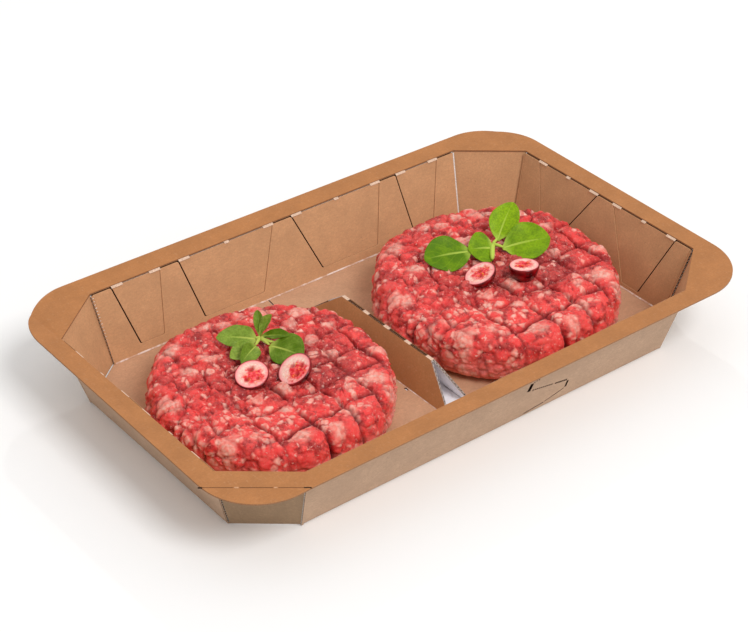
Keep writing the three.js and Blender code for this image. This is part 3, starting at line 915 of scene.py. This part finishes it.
def patty_relief(x, y, z, up, angle, phase):
    """Height over the smooth puck, and how fatty the meat is there, the painted shade of its grooves, its tone
    (lighter at the front, as painted light) and the painted light on its low side.
    """
    bend = meat_drift(x + phase, y, z, 19) * 3.4
    wander = meat_drift(x + phase, y, z, 6) * 1.5
    tremble = meat_drift(x + phase, y, z, 2.2) * 0.7
    wx, wy = x + bend.x + wander.x * 0.4 + tremble.x * 0.25, y + bend.y + wander.y * 0.4 + tremble.y * 0.25
    warped = (x + wander.x + tremble.x * 0.6, y + wander.y + tremble.y * 0.6, z + wander.z)

    crisp = 0.3 + 0.7 * step_between(-y + 0.35 * x, -14, 18)
    patchy = 0.35 + 0.65 * step_between(noise.noise(Vector((x / 11 + phase, y / 11, 4.0))), -0.35, 0.2)
    far_x, strip_x = nearest_line(wx, PRESS_ACROSS)
    far_y, strip_y = nearest_line(wy, PRESS_ALONG)
    side = 1 - max(0.0, up)
    force_x = crisp * patchy * (1 - side * (1 - abs(math.sin(angle)) ** 1.5))
    force_y = crisp * patchy * (1 - side * (1 - abs(math.cos(angle)) ** 1.5) * 0.9)
    cut_x, cut_y = force_x * math.exp(-((far_x / 0.85) ** 2)), force_y * math.exp(-((far_y / 0.85) ** 2))
    soft_x, soft_y = force_x * math.exp(-far_x / 2.6), force_y * math.exp(-far_y / 2.6)
    press = 1.7 * max(cut_x, cut_y) + 1.9 * max(soft_x, soft_y)
    tile = (strip_x * 1.37 + phase, strip_y * 2.11, 0.5)
    tilt = (dice_at(tile) - 0.5) * far_x * 0.16 + (dice_at(tile, 3.0) - 0.35) * far_y * 0.16
    press -= crisp * (1 - side) * (tilt + (dice_at(tile, 5.0) - 0.5) * 0.9)

    gap, lump = cells(*warped, LUMP_SIZE, phase)
    coarse = 1.3 - 0.85 * crisp + 0.3 * side
    big = coarse * ((dice_at(lump) - 0.5) * 1.7 + 1.1 * (1 - math.exp(-gap / 1.1)))
    open_seam = step_between(noise.noise(Vector((x / 7 + 3 * phase, y / 7, z / 7))), -0.25, 0.3)
    seam = coarse * open_seam * math.exp(-((gap / 0.6) ** 2))
    small_gap, small_lump = cells(*[c + t * 0.4 for c, t in zip(warped, tremble)], SMALL_LUMP_SIZE, phase + 11)
    small = 0.5 * (1 - math.exp(-small_gap / 0.5)) + (dice_at(small_lump) - 0.5) * 0.6
    fine = noise.fractal(Vector((x / 1.2, y / 1.2 + phase, z / 1.2)), 0.7, 2.1, 3)
    swell = noise.noise(Vector(((x + phase) / 17, y / 17, z / 17))) * 1.0
    height = big + small - press + 0.16 * fine + swell - 0.55 * seam

    # front lightens the tone of the patty's front and gives it more pale fat: painted light on the lit front.
    front = 0.5 * step_between(-y - 0.4 * x, 8, 46)
    fat = 0.0
    if dice_at(lump, 9.0) < 0.08:
        fat = 0.65 * step_between(gap, 0.2, 2.2)
    if dice_at(small_lump, 7.0) < 0.16 + 0.4 * front:
        fat = max(fat, 0.8 * step_between(small_gap, 0.1, 1.0))
    for lump_x, lump_y, lump_size in FAT_LUMPS:
        away = math.hypot(x - lump_x + wander.x * 1.4, y - lump_y + wander.y * 1.4)
        if away < lump_size * 1.5:
            fat = max(fat, 0.75 * (1 - step_between(away, lump_size * 0.4, lump_size * 1.3)))
            height += 0.4 * (1 - step_between(away, 0, lump_size * 1.5))
    small_seam = open_seam * math.exp(-((small_gap / 0.22) ** 2))
    # deep darkens the seams and press lines in the material: painted shade in the grooves.
    deep = min(1.0, 0.5 * seam + 0.9 * max(cut_x, cut_y) + 0.2 * small_seam)
    middle = 1 - step_between(math.hypot(x - 4, y + 4), 14, 44)
    tone = 0.4 * dice_at(lump, 2.0) + 0.3 * dice_at(small_lump, 1.0) + 0.3 * dice_at(tile, 8.0)
    tone += front - 0.46 * middle + 0.06
    # The lower sides are marked to be made paler: painted light.
    low_side_light = step_between(0.75 - up, 0.0, 0.9) * step_between(17 - z, 0, 9)
    return height, fat * (1 - 0.6 * deep), deep, tone, low_side_light


def read_layer(tree, name):
    """A value that the mesh stores for each of its points."""
    return node(tree, "Attribute", attribute_name=name).outputs["Fac"]


def raw_beef():
    """Wet raw beef: dark and bright red meat, pale fat, and clear juice on top, with painted shade in the
    grooves and painted light on the front, the low sides and in pale glints.
    """
    material, tree, shader = new_material(
        "raw_beef", Roughness=0.36, Specular_IOR_Level=0.14, Coat_Weight=0.45, Coat_Roughness=0.04,
        Subsurface_Weight=0.25, Subsurface_Scale=0.002, Subsurface_Radius=(1.0, 0.3, 0.22),
    )

    meat = mixed(tree, between(tree, read_layer(tree, "tone"), 0.0, 0.72), rgb(150, 2, 16), rgb(246, 62, 62))
    haze = between(tree, spread(tree, 4.5, detail=5, roughness=0.7, shift=3.0), 0.42, 0.66)
    meat = tinted(tree, meat, haze, 0.48, rgb(250, 104, 96))
    blood = between(tree, spread(tree, 5.5, detail=4, roughness=0.6, shift=5.0), 0.5, 0.64)
    meat = tinted(tree, meat, blood, 0.85, rgb(138, 2, 16))
    fibre = between(tree, spread(tree, 1.3, stretch=(1, 1.7, 1), detail=5, roughness=0.75), 0.44, 0.64)
    meat = tinted(tree, meat, fibre, 0.32, rgb(252, 128, 114))
    # Pale flecks: small bits of fat, and painted glints of wet light.
    flecks = between(tree, spread(tree, 1.7, detail=4, roughness=0.7, shift=9.0), 0.6, 0.68)
    meat = tinted(tree, meat, flecks, 0.85, rgb(254, 202, 188))
    fat_colour = mixed(
        tree, between(tree, spread(tree, 1.8, detail=4, shift=2.0), 0.35, 0.65),
        rgb(250, 138, 122), rgb(255, 212, 194),
    )
    meat = mixed(tree, read_layer(tree, "fat"), meat, fat_colour)
    # The lower sides are tinted paler pink: painted light.
    meat = tinted(tree, meat, read_layer(tree, "low_side_light"), 0.46, rgb(252, 166, 154))
    # The seams and press lines are darkened: painted shade in the grooves.
    meat = tinted(tree, meat, read_layer(tree, "deep"), 0.95, rgb(108, 0, 10))
    tree.links.new(meat, shader.inputs["Base Color"])
    add_relief(tree, shader, 0.9, 0.0005, spread(tree, 0.9, detail=5, roughness=0.8))
    beads = spread(tree, 0.8, detail=3, roughness=0.7, shift=4.0)
    add_relief(tree, shader, 1.0, 0.0007, beads, "Coat Normal")
    wet = between(tree, spread(tree, 1.6, detail=3, shift=1.0), 0.35, 0.65, 0.28, 0.52)
    tree.links.new(wet, shader.inputs["Roughness"])
    return material


RAW_BEEF = raw_beef()
MEAT_LOOKS = ("fat", "deep", "tone", "low_side_light")


def add_patty(name, cad_node, x, y, radius, height, phase):
    """One patty, its relief pushed out of a finely divided ball that is flattened to a puck.
    The relief is worked out at the right patty's size and scaled with the patty."""
    form = PattyForm(FORM_RADIUS, FORM_HEIGHT)
    meat = bmesh.new()
    bmesh.ops.create_icosphere(meat, subdivisions=6, radius=1)
    bmesh.ops.subdivide_edges(meat, edges=meat.edges[:], cuts=PATTY_CUTS, use_grid_fill=True)
    wide, tall = radius / FORM_RADIUS, height / FORM_HEIGHT
    looks = {key: [] for key in MEAT_LOOKS}
    for v in meat.verts:
        ball = v.co.normalized()
        angle = math.atan2(ball.y, ball.x)
        r, z, (dr, dz) = form.at(form.walked_for((1 - ball.z) / 2))
        lobe = 1.018 + 0.022 * math.cos(2 * (angle - 0.9)) + 0.008 * math.sin(5 * angle + 2.3 * phase)
        cos, sin = math.cos(angle), math.sin(angle)
        out, up = (-dz, dr) if z > 0.01 else (0.0, -1.0)
        px, py = r * lobe * cos, r * lobe * sin
        relief, *values = patty_relief(px, py, z, up, angle, phase)
        if up < 0:
            relief *= max(0.15, 1 + up)
        v.co = (
            x + wide * (px + relief * out * cos),
            y + wide * (py + relief * out * sin),
            PATTY_BASE + tall * max(0.0, z + relief * up),
        )
        for key, value in zip(MEAT_LOOKS, values):
            looks[key].append(value)
    piece = add_piece(name, meat, [RAW_BEEF], smooth=True)
    for key, values in looks.items():
        layer = piece.data.attributes.new(key, "FLOAT", "POINT")
        layer.data.foreach_set("value", values)
    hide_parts(cad_node)


add_patty("patty_left_meat", "patty_left", -63.3, -4.0, 50.2, 20.4, 5.1)
add_patty("patty_right_meat", "patty_right", 57.4, -4.2, 53.6, 22.2, 5.1)

# ---------------------------------------------------------------- salad sprigs
# Each patty carries a sprig of small spoon-shaped salad leaves on a short pale stalk. The
# leaves are soft, cupped along the midrib and a little wavy at the edge.

LEAF_THICK = 0.32
LEAF_FOOT = 0.03
LEAF_LAYERS = ("along", "across", "leaf_light_and_tone")
LEAF_ACROSS, LEAF_ALONG = 14, 22


def maths(tree, operation, *values):
    """The result of one step of arithmetic on numbers or sockets."""
    return node(tree, "Math", dict(enumerate(values)), operation=operation).outputs[0]


def leaf_green(name, body, light, rib):
    """A smooth salad leaf: even green, paler veins, and a pale midrib that fades to the tip."""
    material, tree, shader = new_material(
        name, Roughness=0.45, Specular_IOR_Level=0.16, Subsurface_Weight=0.12,
        Subsurface_Scale=0.0012, Subsurface_Radius=(0.4, 1.0, 0.2),
    )
    along, side = read_layer(tree, "along"), maths(tree, "ABSOLUTE", read_layer(tree, "across"))
    clouds = between(tree, spread(tree, 5, detail=3), 0.36, 0.64)
    # Each leaf's own value moves its green lighter or darker: partly the leaf's own tone, partly painted light
    # and shade.
    patchy = maths(tree, "ADD", between(tree, clouds, 0, 1, -0.22, 0.22), read_layer(tree, "leaf_light_and_tone"))
    green = mixed(tree, patchy, body, light)
    grain = between(tree, spread(tree, 0.8, detail=2, shift=4.0), 0.4, 0.62)
    green = tinted(tree, green, grain, 0.35, [c * 0.62 for c in body[:3]] + [1])
    slanted = maths(tree, "SUBTRACT", along, maths(tree, "MULTIPLY", side, 0.55))
    saw = maths(tree, "PINGPONG", maths(tree, "MULTIPLY", slanted, 7.0), 1.0)
    vein = between(tree, saw, 0.0, 0.13, 1.0, 0.0)
    green = tinted(tree, green, vein, 0.28, light)
    width = between(tree, along, 0.1, 0.9, 0.1, 0.025)
    midrib = between(tree, maths(tree, "DIVIDE", side, width), 0.55, 1.0, 1.0, 0.0)
    fade = between(tree, along, 0.2, 0.9, 0.66, 0.12)
    green = mixed(tree, maths(tree, "MULTIPLY", midrib, fade), green, rib)
    green = mixed(tree, between(tree, along, 0.02, 0.2, 0.6, 0.0), green, rib)
    tree.links.new(green, shader.inputs["Base Color"])
    add_relief(tree, shader, 0.5, 0.0003, spread(tree, 1.2, detail=4, roughness=0.6))
    return material


LEAF_RIGHT = leaf_green("leaf_right", rgb(84, 122, 0), rgb(142, 178, 14), rgb(192, 212, 90))
LEAF_LEFT = leaf_green("leaf_left", rgb(84, 114, 4), rgb(144, 168, 66), rgb(196, 206, 96))


def mark_points(shape, marks):
    """Stores each point's place along and across the leaf, and its lightness (part leaf tone, part painted
    light and shade), for the material.
    """
    layers = [shape.verts.layers.float.new(name) for name in LEAF_LAYERS]
    for v, values in zip(shape.verts, marks):
        for layer, value in zip(layers, values):
            v[layer] = value


def add_leaf(whole, base, heading, rise, roll, length, width, cup, droop, blunt, fold, leaf_light_and_tone):
    """A leaf that runs from base along heading. blunt moves its widest place towards the tip."""
    leaf = bmesh.new()
    bmesh.ops.create_grid(leaf, x_segments=LEAF_ALONG, y_segments=LEAF_ACROSS, size=1)
    pose = (
        Matrix.Translation(base)
        @ Matrix.Rotation(math.radians(heading), 4, "Z")
        @ Matrix.Rotation(math.radians(-rise), 4, "Y")
        @ Matrix.Rotation(math.radians(roll), 4, "X")
    )
    dice = random.Random(round(heading * 10 + length * 7))
    wave_a, wave_b = dice.uniform(0, 6), dice.uniform(0, 6)
    marks = []
    for v in leaf.verts:
        t, across = (v.co.x + 1) / 2, v.co.y
        blade = min(1.0, max(0.0, (t - LEAF_FOOT) / (1 - LEAF_FOOT)))
        swell = math.sin(math.pi * blade ** blunt) ** 0.62 if 0 < blade < 1 else 0.0
        half = width / 2 * max(swell, 0.11 * (1 - t) if t < 0.75 else 0.0) + 0.05
        edge = across * across
        ripple = 0.35 * edge * math.sin(9 * t + wave_a + across * 1.5) + 0.2 * edge * math.sin(17 * t + wave_b)
        rib = -0.35 * math.exp(-((across * half / 0.6) ** 2)) * (1 - t)
        vein = 0.07 * math.cos((t - 0.5 * abs(across)) * 44) * (1 - edge) * swell
        height = cup * edge * swell + fold * abs(across) * swell - droop * t * t + ripple * swell + rib + vein
        bend = 0.06 * length * math.sin(math.pi * t) * (1 if roll > 0 else -1)
        v.co = (t * length, across * half + bend * 0.4, height)
        marks.append((t, across, leaf_light_and_tone))
    leaf.transform(pose)
    mark_points(leaf, marks)
    bmesh.ops.solidify(leaf, geom=leaf.faces[:], thickness=LEAF_THICK)
    face_outwards(leaf)
    gather(whole, leaf)


def add_stalk(whole, points, radii):
    """A round tapering stalk through points."""
    stalk = bmesh.new()
    rings = []
    for i, (point, radius) in enumerate(zip(points, radii)):
        ahead = Vector(points[min(i + 1, len(points) - 1)]) - Vector(points[max(i - 1, 0)])
        turn = ahead.to_track_quat("Z", "X").to_matrix().to_4x4()
        made = bmesh.ops.create_circle(
            stalk, segments=12, radius=radius, cap_ends=i in (0, len(points) - 1),
            matrix=Matrix.Translation(point) @ turn,
        )
        rings.append(made["verts"])
    for lower, upper in zip(rings, rings[1:]):
        pair = set(lower) | set(upper)
        edges = [e for v in pair for e in v.link_edges if e.other_vert(v) in pair]
        flat = [e for e in set(edges) if (e.verts[0] in lower) == (e.verts[1] in lower)]
        bmesh.ops.bridge_loops(stalk, edges=flat)
    mark_points(stalk, [(0.02, 0.0, 0.6)] * len(stalk.verts))
    face_outwards(stalk)
    gather(whole, stalk)


def add_sprig(name, cad_node, leaves, stalks, material):
    """One sprig: leaves has each leaf's settings in add_leaf's order."""
    sprig = bmesh.new()
    for layer in LEAF_LAYERS:
        sprig.verts.layers.float.new(layer)
    for leaf in leaves:
        add_leaf(sprig, *leaf)
    for points, radii in stalks:
        add_stalk(sprig, points, radii)
    piece = add_piece(name, sprig, [material], smooth=True)
    finer = piece.modifiers.new("finer", "SUBSURF")
    finer.levels = finer.render_levels = 1
    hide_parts(cad_node)


RIGHT_JOINT, LEFT_JOINT = (67.6, 10.6, 25.2), (-54.9, 15.6, 24.6)
add_sprig(
    "sprig_right_leaves", "sprig_right",
    [
        ((71, 11.3, 25.6), 26, 34, 5, 20.1, 13.4, 1.4, 0.6, 1, 0.0, 0.95),
        ((69.1, 5.9, 25.2), -30, 10, 28, 21.8, 19.3, 1.2, 0.4, 1.05, 0.0, 0.6),
        ((55.4, 10.6, 26.6), 163, 2, -25, 22.5, 18.6, 1, 0.3, 1.05, 0.0, 0.1),
        ((65.9, 7.8, 25.5), 165, 12, -30, 12.6, 15.9, 1, 0.8, 0.8, 0.0, 0.5),
    ],
    [
        ([RIGHT_JOINT, (66.2, 9.2, 25.6), (63.2, 5.8, 25.2), (59.8, 1.8, 24.4)], [1.1, 1.2, 1.15, 0.95]),
        ([RIGHT_JOINT, (69.0, 11.2, 25.8), (71.6, 11.8, 26.2)], [0.9, 0.75, 0.6]),
        ([RIGHT_JOINT, (68.6, 8.4, 25.7), (69.6, 5.6, 25.4)], [0.9, 0.75, 0.6]),
        ([RIGHT_JOINT, (62.0, 11.2, 26.0), (55.2, 10.7, 26.6)], [0.9, 0.75, 0.6]),
    ],
    LEAF_RIGHT,
)
add_sprig(
    "sprig_left_leaves", "sprig_left",
    [
        ((-54.6, 16.4, 25), -18, 58, 20, 11, 4.8, 0.8, -0.4, 1.2, 0.8, 0.8),
        ((-54.8, 16.2, 25), 60, 50, -10, 11, 4.2, 0.8, -0.4, 1.3, 0.8, 0.6),
        ((-56.5, 15.8, 24.6), 146, 8, -20, 16.8, 12, 1.4, 1.2, 0.7, -0.5, 0.55),
        ((-59.6, 12.8, 24), -176, 2, -34, 13, 8.5, 1.2, 0.4, 0.85, 0.0, 0.9),
        ((-59, 12.4, 24.3), -150, 2, -36, 14.2, 7.8, 1, 0.6, 0.8, 0.6, 0.5),
        ((-54.3, 16.2, 25), -56, 14, 15, 13.9, 5.2, 0.5, 0.3, 0.9, 0.5, 0.05),
        ((-55, 9, 24.5), -70, 3, 22, 16.6, 15.9, 1.2, 0.6, 1.05, 0.0, 0.2),
    ],
    [
        ([LEFT_JOINT, (-54.4, 13.2, 25.0), (-53.6, 10.6, 24.6), (-51.6, 9.6, 24.4)], [1.1, 0.85, 0.75, 0.5]),
        ([LEFT_JOINT, (-55.2, 12.2, 25.0), (-55.0, 8.6, 24.7)], [1.0, 0.7, 0.55]),
        ([LEFT_JOINT, (-57.0, 14.2, 24.7), (-59.6, 12.5, 24.4)], [1.0, 0.7, 0.55]),
        ([LEFT_JOINT, (-55.6, 15.9, 24.8), (-57.0, 16.0, 24.8)], [1.0, 0.75, 0.6]),
    ],
    LEAF_LEFT,
)

# ---------------------------------------------------------------- halved berries
# Four halves of a dark red berry lie cut side up: a thin glossy skin, a pale pink wall, and a
# soft red core with a few seed hollows and orange threads.

BERRY_RADIUS = 6.6
BERRY_DEPTH = 5.6
BERRY_ROUND = 72
CUT_RADIUS = BERRY_RADIUS * 0.945
CUT_RINGS = (0.925, 0.88, 0.82, 0.75, 0.68, 0.6, 0.52, 0.44, 0.36, 0.28, 0.2, 0.12, 0.05)


def berry_skin():
    """Thin dark red skin with a hard wet gloss."""
    material, tree, shader = new_material(
        "berry_skin", Roughness=0.16, Specular_IOR_Level=0.3, Coat_Weight=0.3, Coat_Roughness=0.04,
    )
    tone = between(tree, spread(tree, 4, detail=3), 0.35, 0.65)
    tree.links.new(mixed(tree, tone, rgb(52, 0, 4), rgb(140, 4, 12)), shader.inputs["Base Color"])
    return material


def berry_flesh():
    """Cut flesh: a pale wall that turns red in the core, with orange threads and painted shade in the seed
    hollows.
    """
    material, tree, shader = new_material(
        "berry_flesh", Roughness=0.3, Specular_IOR_Level=0.2, Coat_Weight=0.15, Coat_Roughness=0.1,
        Subsurface_Weight=0.15, Subsurface_Scale=0.0015, Subsurface_Radius=(1.0, 0.4, 0.3),
    )
    share = read_layer(tree, "across_cut")
    rough = between(tree, spread(tree, 2.0, detail=5), 0.3, 0.7, -0.24, 0.24)
    wobbled = maths(tree, "ADD", read_layer(tree, "from_core"), rough)
    wall = mixed(
        tree, between(tree, spread(tree, 0.7, detail=3, shift=2.0), 0.35, 0.65),
        rgb(255, 184, 172), rgb(255, 226, 208),
    )
    wall = mixed(tree, between(tree, share, 0.72, 0.95), wall, rgb(253, 160, 160))
    core = mixed(
        tree, between(tree, spread(tree, 1.3, detail=4, shift=6.0), 0.42, 0.6),
        rgb(222, 12, 34), rgb(250, 96, 100),
    )
    thread = between(tree, spread(tree, 0.9, stretch=(1, 2, 1), detail=3, shift=8.0), 0.57, 0.65)
    core = mixed(tree, thread, core, rgb(252, 148, 40))
    flesh = mixed(tree, between(tree, wobbled, 0.44, 0.8), core, wall)
    flesh = mixed(tree, between(tree, share, 0.93, 1.0), flesh, rgb(206, 50, 60))
    # The seed hollows are darkened: painted shade.
    flesh = mixed(tree, between(tree, read_layer(tree, "pit_shade"), 0.1, 0.9, 0, 0.75), flesh, rgb(166, 6, 12))
    tree.links.new(flesh, shader.inputs["Base Color"])
    add_relief(tree, shader, 0.6, 0.0004, spread(tree, 0.8, detail=4, roughness=0.7))
    return material


BERRY_SKIN, BERRY_FLESH = berry_skin(), berry_flesh()


def add_berry(name, cad_node, x, y, z, tilt, heading, long, wide, spin, core, pits, depth=BERRY_DEPTH):
    """A halved berry. z is its cut face's middle, tilt and heading lean it, and long and wide
    stretch it. core is where its red core sits, and pits are (angle, distance from the middle,
    size, depth) of its seed hollows."""
    berry = bmesh.new()
    profile = [(0.0, -depth)]
    for i in range(1, 13):
        turn = i / 13.2 * math.pi / 2
        profile.append((BERRY_RADIUS * math.sin(turn), -depth * math.cos(turn)))
    profile += [(BERRY_RADIUS, -0.55), (BERRY_RADIUS * 0.985, -0.15), (CUT_RADIUS, 0.0)]
    profile += [(BERRY_RADIUS * s, -0.12 * (1 - s)) for s in CUT_RINGS]
    profile.append((0.0, -0.12))
    corners, edges = draw_line(berry, [(r, 0, h) for r, h in profile])
    bmesh.ops.spin(
        berry, geom=corners + edges, cent=(0, 0, 0), axis=(0, 0, 1), dvec=(0, 0, 0),
        angle=2 * math.pi, steps=BERRY_ROUND, use_merge=True, use_duplicate=False,
    )
    bmesh.ops.remove_doubles(berry, verts=berry.verts[:], dist=0.001)
    face_outwards(berry)
    cut_layer = berry.verts.layers.float.new("across_cut")
    core_layer = berry.verts.layers.float.new("from_core")
    pit_layer = berry.verts.layers.float.new("pit_shade")
    for face in berry.faces:
        middle = face.calc_center_median()
        on_cut = middle.z > -0.16 and math.hypot(middle.x, middle.y) < CUT_RADIUS
        face.material_index = 1 if on_cut else 0
    for v in berry.verts:
        r = math.hypot(v.co.x, v.co.y)
        v[cut_layer] = r / CUT_RADIUS
        v[core_layer] = math.hypot(v.co.x - core[0], v.co.y - core[1]) / CUT_RADIUS
        hollow = 0.0
        if v.co.z > -0.3 and r < BERRY_RADIUS * 0.9:
            for angle, away, reach, deep in pits:
                px, py = away * math.cos(angle), away * math.sin(angle)
                near = math.hypot(v.co.x - px, v.co.y - py) / reach
                if near < 1:
                    hollow = max(hollow, 1 - near * near)
                    v.co.z -= deep * (1 - near * near)
            v.co.z += 0.16 * noise.noise(Vector((v.co.x * 1.2, v.co.y * 1.2, x)))
        v[pit_layer] = hollow
    aim = math.radians(heading)
    lean = Matrix.Rotation(math.radians(tilt), 4, Vector((-math.sin(aim), math.cos(aim), 0)))
    stretch = Matrix.Diagonal((long / (2 * BERRY_RADIUS), wide / (2 * BERRY_RADIUS), 1, 1))
    turn = Matrix.Rotation(math.radians(spin), 4, "Z")
    berry.transform(Matrix.Translation((x, y, z)) @ lean @ turn @ stretch)
    piece = add_piece(name, berry, [BERRY_SKIN, BERRY_FLESH], smooth=True)
    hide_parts(cad_node)


add_berry(
    "berry_left_near_half", "berry_left_near", -73.5, -4.6, 25.8, 18, -140, 14.7, 14.1, 20, (-0.3, -1.0),
    [(0.75, 2.7, 1.7, 1.3), (3.1, 2.9, 1.5, 0.6), (4.6, 3.2, 1.1, 0.5)],
)
add_berry(
    "berry_left_far_half", "berry_left_far", -58.1, -12.6, 26.1, 31, 172, 15.8, 15.2, 52, (-1.4, -0.9),
    [(3.4, 2.6, 1.5, 0.8), (0.4, 1.8, 1.2, 0.5), (4.9, 2.9, 1.3, 0.6)],
)
add_berry(
    "berry_right_near_half", "berry_right_near", 45.8, -6.0, 27.2, 22, 153, 15.4, 14.4, 42, (0.2, -0.1),
    [(0.2, 1.3, 1.1, 0.6), (3.4, 1.5, 1.2, 0.6)],
)
add_berry(
    "berry_right_far_half", "berry_right_far", 62.2, -16.1, 30.2, 7, 52, 13.9, 12.9, 10, (0.2, 0.2),
    [(0.2, 1.7, 1.3, 0.7), (3.2, 1.9, 1.3, 0.6)], 8.3,
)
